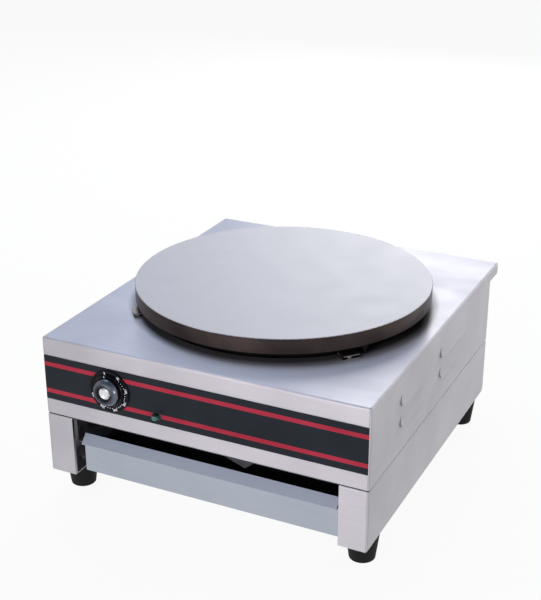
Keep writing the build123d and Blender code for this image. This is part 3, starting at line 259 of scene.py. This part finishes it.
def galvanised():
    """Zinc crystals: the random value of each Voronoi cell sets its grey."""
    material, tree, place = start_material("hot_dip_galvanised_steel")
    scaled = add_node(tree, "Mapping", {"Vector": place, "Scale": (1 / (SPANGLE * MM),) * 3})
    cells = add_node(tree, "TexVoronoi", {"Vector": scaled.outputs[0], "Scale": 1.0})
    value = add_node(tree, "SeparateXYZ", {0: cells.outputs["Color"]}).outputs["X"]
    gloss = add_node(tree, "MapRange", ramp(value, 0.34, 0.5, 0.0, 1.0))
    finish_material(tree, {
        "Base Color": uneven_colour(tree, value, "#9a9ca0", "#b6b8bb", 0.0, 1.0),
        "Metallic": 1.0,
        "Roughness": gloss.outputs[0],
    })
    return material


def plated(name, dark, light, rough):
    """Thin electroplate: fine pits under a skin of slightly uneven colour."""
    material, tree, place = start_material(name)
    pits = stretched_noise(tree, place, (0.6, 0.6, 0.6))
    tint = stretched_noise(tree, place, (9.0, 9.0, 9.0), detail=2.0)
    bump = add_node(tree, "Bump", {"Strength": 0.2, "Distance": 0.03 * MM, "Height": pits})
    gloss = add_node(tree, "MapRange", ramp(pits, rough - 0.06, rough + 0.06))
    finish_material(tree, {
        "Base Color": uneven_colour(tree, tint, dark, light),
        "Metallic": 1.0,
        "Roughness": gloss.outputs[0],
        "Normal": bump.outputs[0],
    })
    return material


zinc_sheet = galvanised()
# Pickled steel for the bottom plate, made darker than bare pickled steel as painted shade for its
# drip tab and the inside of the base.
dull_sheet = plated("pickled_steel_with_painted_shade", "#3c3c40", "#4a4a4f", 0.5)
black_steel = plated("blackened_steel", "#1c1b1c", "#2b292a", 0.4)
pickled_steel = plated("pale_pickled_steel", "#5f5f64", "#6c6c71", 0.5)
worn_steel = plated("worn_bracket_steel", "#86807f", "#9c9594", 0.3)
zinc_plate = plated("zinc_plated_steel", "#a9abb0", "#c2c4c6", 0.32)
brass = plated("drawn_brass", "#b58f4e", "#d0ad6a", 0.3)
print("spangles to the metre:", round(1 / (SPANGLE * MM)))

# %% [markdown]
# ## Cast iron
#
# The griddle is cast iron, faced and turned on a lathe. Its top is ground to a pale dull grey, in
# rings so fine that they only soften the light. Its rim is turned more coarsely and has been
# blued dark by heat and oil. A lathe's marks are all round one axis, so noise of the distance from
# the axis makes the rings on top, and noise of the height makes the lines round the rim. The
# height of a point also decides which of the two it shows.

# %% Griddle iron
EDGE_BAND = 0.6 * MM
RING_SHARE = 0.35
TOP_SPAN = (0.45, 0.9)
LATHE_SHARE = 0.6
RIM_SPAN = (0.55, 1.05)
RIM_ROUGH = 0.36
GRAIN_RELIEF = 0.4


def griddle_iron():
    """Rings are noise of the radius alone, blotches are noise of the place."""
    material, tree, place = start_material("turned_cast_iron")
    centred, height, radius = round_axis(tree, place, PLATE_CENTRE, 2)
    ring_place = add_node(tree, "CombineXYZ", {0: radius}).outputs[0]
    rings = stretched_noise(tree, ring_place, (1.4, 1.0, 1.0))
    height_place = add_node(tree, "CombineXYZ", {2: height}).outputs[0]
    lathe = stretched_noise(tree, height_place, (1.0, 1.0, 1.1))
    blotch = stretched_noise(tree, centred, (45.0, 45.0, 45.0), detail=4.0)
    grain = stretched_noise(tree, centred, (1.2, 1.2, 1.2), detail=4.0)
    edge = {0: height, 1: -EDGE_BAND}
    on_top = add_node(tree, "Math", edge, operation="GREATER_THAN").outputs[0]
    ground = {0: rings, 1: RING_SHARE, 2: blotch}
    worn = add_node(tree, "Math", ground, operation="MULTIPLY_ADD").outputs[0]
    top = uneven_colour(tree, worn, "#abaaae", "#b5b4b7", *TOP_SPAN)
    turned = {0: lathe, 1: LATHE_SHARE, 2: blotch}
    oiled = add_node(tree, "Math", turned, operation="MULTIPLY_ADD").outputs[0]
    rim = uneven_colour(tree, oiled, "#2c2424", "#4e423f", *RIM_SPAN)
    colour = add_node(tree, "Mix", {0: on_top, 6: rim, 7: top}, data_type="RGBA").outputs[2]
    top_rough = add_node(tree, "MapRange", ramp(worn, 0.6, 0.68, *TOP_SPAN)).outputs[0]
    rough = add_node(tree, "Mix", {0: on_top, 2: RIM_ROUGH, 3: top_rough}).outputs[0]
    tool = add_node(tree, "Mix", {0: on_top, 2: lathe, 3: rings}).outputs[0]
    both = {0: grain, 1: GRAIN_RELIEF, 2: tool}
    relief = add_node(tree, "Math", both, operation="MULTIPLY_ADD").outputs[0]
    bump = add_node(tree, "Bump", {"Strength": 0.18, "Distance": 0.05 * MM, "Height": relief})
    finish_material(tree, {
        "Base Color": colour,
        "Metallic": 0.75,
        "Roughness": rough,
        "Normal": bump.outputs[0],
    })
    return material


iron = griddle_iron()
print("middle of the griddle's top:", [round(value, 4) for value in PLATE_CENTRE])

# %% [markdown]
# ## Heater, insulation and ceramics
#
# Under the plate a pressed steel pan in black heat-proof enamel holds the heating elements. Enamel
# is glass fired onto steel, so it is smooth and glossy with a slight waviness, the so-called
# orange peel. The elements are nickel-alloy tubes that oxidise to a dull grey-green. The pad below
# them is mineral wool, and the bushings are steatite, a white ceramic.

# %% Enamel, element sheath, mineral wool and steatite
SKIN_SHARE = 0.5
SKIN_SPAN = (0.5, 1.0)
PATCH_TO_GRAIN = 14


def skin(name, colours, grain_mm, rough, bump_mm, **more):
    """A moulded or fired skin: noise of one grain size shades it, roughens it and raises it."""
    material, tree, place = start_material(name)
    grain = stretched_noise(tree, place, (grain_mm,) * 3)
    patch = stretched_noise(tree, place, (PATCH_TO_GRAIN * grain_mm,) * 3, detail=2.0)
    total = {0: grain, 1: SKIN_SHARE, 2: patch}
    shade = add_node(tree, "Math", total, operation="MULTIPLY_ADD").outputs[0]
    bump = add_node(tree, "Bump", {"Strength": 0.35, "Distance": bump_mm * MM, "Height": grain})
    gloss = add_node(tree, "MapRange", ramp(shade, rough - 0.05, rough + 0.05, *SKIN_SPAN))
    surface = {socket.replace("_", " "): value for socket, value in more.items()}
    finish_material(tree, {
        "Base Color": uneven_colour(tree, shade, *colours, *SKIN_SPAN),
        "Roughness": gloss.outputs[0],
        "Normal": bump.outputs[0],
        **surface,
    })
    return material


enamel = skin("black_heat_proof_enamel", ("#050505", "#0a0a0b"), 2.5, 0.4, 0.04,
              Specular_IOR_Level=0.08)
sheath = skin("oxidised_nickel_alloy_sheath", ("#4a4d48", "#62645c"), 1.5, 0.5, 0.02, Metallic=0.8)
wool = skin("pressed_mineral_wool", ("#b9ad90", "#d8cfb6"), 0.9, 0.95, 0.4)
steatite = skin("white_steatite", ("#dcd7cc", "#ebe7de"), 1.0, 0.35, 0.01)
print("skins so far:", [m.name for m in (enamel, sheath, wool, steatite)])

# %% [markdown]
# ## Plastics and rubber
#
# The dial and the knob's skirt are near black and glossy. The knob's crown is plated in smoky
# chrome, which shows the white floor as a pale crescent on its right, and the middle of its dish
# is bright. The three finishes are rings round the knob's axis, so a point's distance from that
# axis picks its finish. The lamp's body and the gland are nylon, which comes out satin. The feet
# are rubber from a sand-blasted mould: a matt skin with a fine grain of about 0.5 mm.

# %% Plastics and rubber
KNOB_LOW, KNOB_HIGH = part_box("knob")
KNOB_AXIS = (KNOB_LOW + KNOB_HIGH) / 2
BRIGHT_RADIUS = 7.6 * MM
CROWN_INSIDE = 10.0 * MM
CROWN_OUTSIDE = 18.3 * MM


def knob_finish():
    """Rings round the knob's axis by their radius: bright inside, smoky on the crown, or black."""
    material, tree, place = start_material("black_phenolic_with_plated_crown")
    radius = round_axis(tree, place, KNOB_AXIS, 1)[2]
    growing = ramp(radius, 0.0, 1.0, CROWN_INSIDE, CROWN_OUTSIDE)
    fade = add_node(tree, "MapRange", growing).outputs[0]
    crown_edge, dish_edge = {0: radius, 1: CROWN_OUTSIDE}, {0: radius, 1: BRIGHT_RADIUS}
    inside = add_node(tree, "Math", crown_edge, operation="LESS_THAN").outputs[0]
    crown = add_node(tree, "Math", {0: fade, 1: inside}, operation="MULTIPLY").outputs[0]
    bright = add_node(tree, "Math", dish_edge, operation="LESS_THAN").outputs[0]
    plate = add_node(tree, "Math", {0: crown, 1: bright}, operation="MAXIMUM").outputs[0]
    cloud = stretched_noise(tree, place, (5.0, 5.0, 5.0))
    black = uneven_colour(tree, cloud, "#08090c", "#0e0f14")
    smoky = uneven_colour(tree, cloud, "#6c747f", "#7a828d")
    chromed = uneven_colour(tree, cloud, "#d3d5d8", "#e2e4e7")
    metal = add_node(tree, "Mix", {0: bright, 6: smoky, 7: chromed}, data_type="RGBA").outputs[2]
    colour = add_node(tree, "Mix", {0: plate, 6: black, 7: metal}, data_type="RGBA").outputs[2]
    finish_material(tree, {
        "Base Color": colour,
        "Metallic": plate,
        "Roughness": add_node(tree, "MapRange", ramp(cloud, 0.18, 0.24)).outputs[0],
        "Specular IOR Level": 0.15,
    })
    return material


phenolic = knob_finish()
dial_gloss = skin("black_dial_enamel", ("#07080b", "#0c0d12"), 4.0, 0.2, 0.004,
                  Specular_IOR_Level=0.12)
nylon = skin("black_nylon", ("#151517", "#1e1e21"), 0.8, 0.42, 0.02)
brown_phenolic = skin("brown_phenolic", ("#3a2418", "#4a3022"), 1.2, 0.3, 0.01)
rubber = skin("moulded_black_rubber", ("#070708", "#0f0f11"), 0.5, 0.72, 0.05,
              Specular_IOR_Level=0.2)
chrome = plated("polished_chrome", "#d6d7da", "#e6e7ea", 0.12)
print("plastics:", [m.name for m in (phenolic, dial_gloss, nylon, rubber)])

# %% [markdown]
# ## Printed strip
#
# The front carries a strip of polycarbonate film, printed on its back and glued on. The film is
# satin and nearly black, with two red stripes along its whole length. The stripes are ink, with
# no thickness of their own, so they are painted by height: a point is red where its height is
# within half a stripe of a stripe's middle line.

# %% Control strip
STRIP_LOW, STRIP_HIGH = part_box("control_overlay")
STRIPE_MARGIN = 9.1 * MM
STRIPE_WIDTH = 5.9 * MM


def printed_film():
    """Red where |z - middle| <= width / 2 for either stripe, else the near-black ground."""
    material, tree, place = start_material("printed_polycarbonate_film")
    height = add_node(tree, "SeparateXYZ", {0: place}).outputs["Z"]
    half = STRIPE_WIDTH / 2
    inset = STRIPE_MARGIN + half
    above = {0: height, 1: STRIP_HIGH.z - inset, 2: half}
    below = {0: height, 1: STRIP_LOW.z + inset, 2: half}
    upper = add_node(tree, "Math", above, operation="COMPARE").outputs[0]
    lower = add_node(tree, "Math", below, operation="COMPARE").outputs[0]
    red = add_node(tree, "Math", {0: upper, 1: lower}, operation="MAXIMUM").outputs[0]
    texture = stretched_noise(tree, place, (0.7, 0.7, 0.7))
    wash = stretched_noise(tree, place, (60.0, 60.0, 60.0), detail=2.0)
    ground = uneven_colour(tree, wash, "#141a21", "#1a2128")
    ink = uneven_colour(tree, wash, "#a5273b", "#b13044")
    colour = add_node(tree, "Mix", {0: red, 6: ground, 7: ink}, data_type="RGBA").outputs[2]
    bump = add_node(tree, "Bump", {"Strength": 0.25, "Distance": 0.01 * MM, "Height": texture})
    finish_material(tree, {
        "Base Color": colour,
        "Roughness": add_node(tree, "MapRange", ramp(texture, 0.4, 0.5)).outputs[0],
        "Specular IOR Level": 0.16,
        "Normal": bump.outputs[0],
    })
    return material


film = printed_film()
print("strip height in mm:", round((STRIP_HIGH.z - STRIP_LOW.z) / MM, 2))

# %% [markdown]
# ## Lamp lens and wires
#
# The lens is clear green polycarbonate over a dark reflector, so it is deep in colour and shows
# one sharp highlight. The wires inside have silicone sleeves in the usual colours: brown for live,
# blue for neutral and green-yellow for earth. Bands on a slant wind round the earth's sleeve: a
# wave texture has 20 radians to the unit, so its scale is 2 pi / 20 over the bands' distance.

# %% Lens, wires and print
LENS_LOW, LENS_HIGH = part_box("lamp_lens")
LENS_TOP = LENS_HIGH.z - 1.5 * MM
LENS_MIDDLE = (LENS_LOW.z + LENS_HIGH.z) / 2 - 0.5 * MM
BAND_DISTANCE = 11.84
BAND_SLANT = (0.6, 0.5, 0.7)
WAVE_RADIANS = 20


def tinted_lens():
    """Clear green plastic with painted shade: darker from the middle of the lens up to its top,
    under the socket.
    """
    material, tree, place = start_material("green_polycarbonate")
    flow = stretched_noise(tree, place, (2.0, 6.0, 2.0))
    height = add_node(tree, "SeparateXYZ", {0: place}).outputs["Z"]
    bump = add_node(tree, "Bump", {"Strength": 0.1, "Distance": 0.05 * MM, "Height": flow})
    finish_material(tree, {
        # Painted shade: the green darkens from the lens's middle to its top.
        "Base Color": uneven_colour(tree, height, "#1a7f72", "#052620", LENS_MIDDLE, LENS_TOP),
        "Roughness": 0.15,
        "IOR": 1.58,
        "Transmission Weight": 0.2,
        "Normal": bump.outputs[0],
    })
    return material


def striped_sleeve():
    """Green with yellow bands BAND_DISTANCE apart: yellow where the wave is above its middle."""
    material, tree, place = start_material("green_yellow_silicone")
    turned = add_node(tree, "Mapping", {"Vector": place, "Rotation": BAND_SLANT}).outputs[0]
    scale = 2 * math.pi / (WAVE_RADIANS * BAND_DISTANCE * MM)
    waves = add_node(tree, "TexWave", {"Vector": turned, "Scale": scale})
    middle = {0: waves.outputs["Fac"], 1: 0.5}
    band = add_node(tree, "Math", middle, operation="GREATER_THAN").outputs[0]
    colour = uneven_colour(tree, band, "#2f7a35", "#d8c330", 0.0, 1.0)
    finish_material(tree, {"Base Color": colour, "Roughness": 0.5})
    return material


lens_green = tinted_lens()
live_sleeve = skin("brown_silicone", ("#52301f", "#653c28"), 0.8, 0.5, 0.01)
neutral_sleeve = skin("blue_silicone", ("#1f3f7d", "#2a4f93"), 0.8, 0.5, 0.01)
load_sleeve = skin("black_silicone", ("#1b1b1d", "#262629"), 0.8, 0.5, 0.01)
earth_sleeve = striped_sleeve()
white_ink = skin("white_print_ink", ("#dfe2e6", "#f2f4f6"), 0.3, 0.5, 0.005)
print("lens and sleeves:", [m.name for m in (lens_green, live_sleeve, earth_sleeve, white_ink)])

# %% [markdown]
# ## Finishes on the solid parts
#
# Each solid part keeps its mesh and only gets its material. The names in the record's slots say
# what each part is made of, so one table from slot to material serves most of them. The parts
# that look unlike the rest of their slot, such as the wires, are named one by one.

# %% Put the finishes on
SLOT_FINISH = {
    "brushed_stainless": stainless, "dull_steel": dull_sheet, "galvanised_steel": zinc_sheet,
    "zinc_fasteners": zinc_plate, "griddle_iron": iron, "dark_heater_steel": enamel,
    "element_sheath": sheath, "mineral_wool": wool, "white_ceramic": steatite,
    "brass_strip": brass, "wire_silicone": load_sleeve, "overlay_film": film,
    "dial_black": dial_gloss, "knob_black": phenolic, "knob_insert": chrome,
    "lens_green": lens_green, "lamp_black": nylon, "thermostat_case": brown_phenolic,
    "gland_nylon": nylon, "foot_rubber": rubber,
}
NODE_FINISH = {
    "housing": browned_steel, "tray_front": tray_steel, "tray_pan": tray_steel,
    "level_bolts": black_steel, "base_back_panel": pickled_steel,
    "plate_bracket_front_left": worn_steel, "plate_bracket_front_right": worn_steel,
    "plate_bracket_rear_left": worn_steel, "plate_bracket_rear_right": worn_steel,
    "wire_live": live_sleeve, "wire_neutral": neutral_sleeve, "wire_earth": earth_sleeve,
    "lamp_lead_left": live_sleeve, "lamp_lead_right": neutral_sleeve,
}


def give_finish(piece, material):
    """Puts one material on the whole of a piece."""
    piece.data.materials.clear()
    piece.data.materials.append(material)


for part in frame["record"]["subparts"]:
    name = part["node"]
    give_finish(nodes[name], NODE_FINISH.get(name, SLOT_FINISH[part["material_slot"]]))

# %% [markdown]
# ## Print on the dial
#
# The dial's ring carries a zero mark, six temperatures and small dots between them, all printed in
# white. Letters drawn in a texture would blur when one comes near, so each is a text object that
# is made a mesh, as thin as ink, and then laid on the ring. Its foot points to the knob's axis.

# %% Dial print
DIAL_LOW, DIAL_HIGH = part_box("dial_plate")
DIAL_AXIS = (DIAL_LOW + DIAL_HIGH) / 2
INK = 0.06 * MM
TEMPERATURES = {"50": 33.0, "100": 76.0, "150": 119.0, "200": 162.0, "250": 205.0, "300": 248.0}
NUMBER_RING = 25.3 * MM
NUMBER_SIZE = 4.3 * MM
BOLDNESS = 0.1 * MM
CURVE_STEPS = 3


def on_ring(axis, angle, radius, front):
    """The frame of a spot on a circle in the XZ plane, at angle a clockwise from the top: its right
    is (cos a, 0, -sin a), its up is (sin a, 0, cos a), and its place is axis + radius * up."""
    a = math.radians(angle)
    right, up = Vector((math.cos(a), 0, -math.sin(a))), Vector((math.sin(a), 0, math.cos(a)))
    place = Vector((axis.x, front, axis.z)) + radius * up
    return Matrix.Translation(place) @ Matrix((right, up, right.cross(up))).transposed().to_4x4()


def place_piece(name, mesh, material, body):
    """Makes an object of a finished mesh and hands it to its body."""
    piece = bpy.data.objects.new(name, mesh)
    bpy.context.scene.collection.objects.link(piece)
    give_finish(piece, material)
    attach(piece, body)


def text_mesh(text, size):
    """A word as a thin mesh in its own plane, centred on the origin."""
    curve = bpy.data.curves.new("word", "FONT")
    curve.body = text
    curve.size = size
    curve.align_x = "CENTER"
    curve.align_y = "CENTER"
    curve.extrude = INK
    curve.offset = BOLDNESS
    curve.resolution_u = CURVE_STEPS
    holder = bpy.data.objects.new("word", curve)
    bpy.context.scene.collection.objects.link(holder)
    bpy.context.view_layer.update()
    evaluated = holder.evaluated_get(bpy.context.evaluated_depsgraph_get())
    mesh = bpy.data.meshes.new_from_object(evaluated)
    bpy.data.objects.remove(holder)
    return mesh


for word, angle in TEMPERATURES.items():
    mesh = text_mesh(word, NUMBER_SIZE)
    mesh.transform(on_ring(DIAL_AXIS, angle, NUMBER_RING, DIAL_LOW.y))
    place_piece("dial_number_" + word, mesh, white_ink, "root")
print("numbers on the dial:", list(TEMPERATURES))

# %% [markdown]
# ## Dots, zero mark and the knob's dot
#
# These marks are printed shapes too, so each kind is one thin prism on its flat outline, copied to
# every spot. The dots divide the way from one temperature to the next in five. The zero mark is a
# short bar, and the white dot on the knob points to it when the appliance is off.

# %% Dots and zero mark
DOT_RING = 23.2 * MM
DOT_RADIUS = 0.62 * MM
DOTS_BETWEEN = 4
ZERO_ANGLE = -12.4
ZERO_RING = 25.0 * MM
ZERO_HALF = np.array([0.6, 2.2]) * MM
KNOB_DOT_RING = 19.55 * MM
KNOB_DOT_RADIUS = 0.9 * MM
KNOB_DOT_POINTS = 24
SKIRT_DEPTH = 3.0 * MM


def prism_grid(outline, thickness):
    """A flat outline of n points at -thickness and again at +thickness: 2 n points, and faces."""
    count = len(outline)
    low = np.column_stack([outline, np.full(count, -thickness)])
    high = np.column_stack([outline, np.full(count, thickness)])
    step = np.arange(count)
    after = (step + 1) % count
    walls = np.column_stack([step, after, after + count, step + count]).tolist()
    return np.vstack([low, high]), walls + [step[::-1].tolist(), (step + count).tolist()]


def printed_spots(name, outline, spots, material, body):
    """Copies of one thin outline as a single piece: point p goes to M (p, 1) for each M in spots."""
    points, faces = prism_grid(outline, INK)
    count = len(points)
    turned = np.stack([np.array(spot) for spot in spots])
    homogeneous = np.column_stack([points, np.ones(count)])
    placed = np.einsum("sij,pj->spi", turned, homogeneous)[..., :3].reshape(-1, 3)
    mesh = bpy.data.meshes.new(name)
    every = [[i + count * s for i in face] for s in range(len(spots)) for face in faces]
    mesh.from_pydata(placed.tolist(), [], every)
    place_piece(name, mesh, material, body)


def round_outline(radius, count=16):
    """Points (r cos a, r sin a) of a circle, at even steps of a from 0 to 2 pi."""
    angle = np.linspace(0, 2 * np.pi, count, endpoint=False)
    return radius * np.column_stack([np.cos(angle), np.sin(angle)])


marks = sorted(TEMPERATURES.values())
shares = np.arange(1, DOTS_BETWEEN + 1) / (DOTS_BETWEEN + 1)
dot_angles = [low + (high - low) * share for low, high in zip(marks, marks[1:]) for share in shares]
dots = [on_ring(DIAL_AXIS, angle, DOT_RING, DIAL_LOW.y) for angle in dot_angles]
printed_spots("dial_dots", round_outline(DOT_RADIUS), dots, white_ink, "root")
zero_bar = np.array([[-1, -1], [1, -1], [1, 1], [-1, 1]]) * ZERO_HALF
zero_spot = on_ring(DIAL_AXIS, ZERO_ANGLE, ZERO_RING, DIAL_LOW.y)
printed_spots("dial_zero_mark", zero_bar, [zero_spot], white_ink, "root")
knob_spot = on_ring(KNOB_AXIS, ZERO_ANGLE, KNOB_DOT_RING, KNOB_HIGH.y - SKIRT_DEPTH)
knob_outline = round_outline(KNOB_DOT_RADIUS, KNOB_DOT_POINTS)
printed_spots("knob_dot", knob_outline, [knob_spot], white_ink, "knob")
print("dots on the dial:", len(dot_angles))

# %% [markdown]
# ## Studio
#
# The object stands on a white floor in a white room. The camera and every shiny surface see both
# as white, through the Light Path node, while the light that reaches dull surfaces comes from a
# dimmer room and five soft lamps, so that nothing burns out. Overhead the room turns to a blue-grey
# ceiling, because a flat sheet that mirrors an all-white room would look like white paint.

# %% Floor, room and lamps
def seen_or_mirrored(tree):
    """1 for a ray from the camera, or one that a mirror or glass sends on, and 0 for any other."""
    path = add_node(tree, "LightPath")
    first = {0: path.outputs["Is Camera Ray"], 1: path.outputs["Is Glossy Ray"]}
    either = add_node(tree, "Math", first, operation="MAXIMUM").outputs[0]
    last = {0: either, 1: path.outputs["Is Transmission Ray"]}
    return add_node(tree, "Math", last, operation="MAXIMUM").outputs[0]


bpy.context.scene.view_settings.view_transform = "Standard"
ROOM_LIGHT = 0.55
FLOOR_LIFT = 0.93
WALL_TOP = 0.25
CEILING_START = 0.8
CEILING_COLOUR = "#74829a"
FLOOR_HALF = 14.0
MIDDLE = Vector((0, 0, 0.18))

world = bpy.data.worlds.new("studio")
bpy.context.scene.world = world
world.use_nodes = True
world.node_tree.nodes.clear()
walls = world.node_tree
level = add_node(walls, "Mix", {0: seen_or_mirrored(walls), 2: ROOM_LIGHT, 3: 1.0}).outputs[0]
towards = add_node(walls, "TexCoord").outputs["Generated"]
climb = add_node(walls, "SeparateXYZ", {0: towards}).outputs["Z"]
wall_colour = uneven_colour(walls, climb, "#ffffff", CEILING_COLOUR, WALL_TOP, CEILING_START)
room = add_node(walls, "Background", {"Color": wall_colour, "Strength": level})
add_node(walls, "OutputWorld", {"Surface": room.outputs[0]})

floor_paint, paint = empty_material("white_studio_floor")
share = {0: seen_or_mirrored(paint), 1: FLOOR_LIFT}
lift = add_node(paint, "Math", share, operation="MULTIPLY").outputs[0]
matt = add_node(paint, "BsdfDiffuse", {"Color": srgb("#f4f4f4")})
glow = add_node(paint, "Emission", {"Color": srgb("#ffffff"), "Strength": 1.0})
both = add_node(paint, "MixShader", {0: lift, 1: matt.outputs[0], 2: glow.outputs[0]})
add_node(paint, "OutputMaterial", {"Surface": both.outputs[0]})
corners = FLOOR_HALF * np.array([[-1, -1, 0], [1, -1, 0], [1, 1, 0], [-1, 1, 0]])
floor_mesh = bpy.data.meshes.new("floor")
floor_mesh.from_pydata(corners.tolist(), [], [[0, 1, 2, 3]])
floor = bpy.data.objects.new("floor", floor_mesh)
bpy.context.scene.collection.objects.link(floor)
give_finish(floor, floor_paint)


def soft_lamp(name, place, wide, high, power, colour):
    """A rectangular area lamp that looks at the object; the camera doesn't see it."""
    data = bpy.data.lights.new(name, "AREA")
    data.shape = "RECTANGLE"
    data.size = wide
    data.size_y = high
    data.energy = power
    data.color = srgb(colour)[:3]
    lamp = bpy.data.objects.new(name, data)
    lamp.location = place
    lamp.rotation_euler = (MIDDLE - Vector(place)).to_track_quat("-Z", "Y").to_euler()
    lamp.visible_camera = False
    bpy.context.scene.collection.objects.link(lamp)


soft_lamp("front_lamp", (-0.5, -2.4, 0.45), 1.8, 1.8, 32, "#fff6fb")
soft_lamp("back_lamp", (-0.22, 2.2, 1.2), 1.7, 1.7, 43, "#ffffff")
soft_lamp("left_lamp", (-1.7, 1.9, 1.2), 1.2, 1.2, 2, "#e6eeff")
soft_lamp("top_lamp", (-1.0, 0.5, 2.0), 0.9, 1.5, 11.5, "#d8e8ff")
soft_lamp("right_lamp", (2.0, -1.6, 0.4), 0.5, 0.5, 10, "#ffffff")
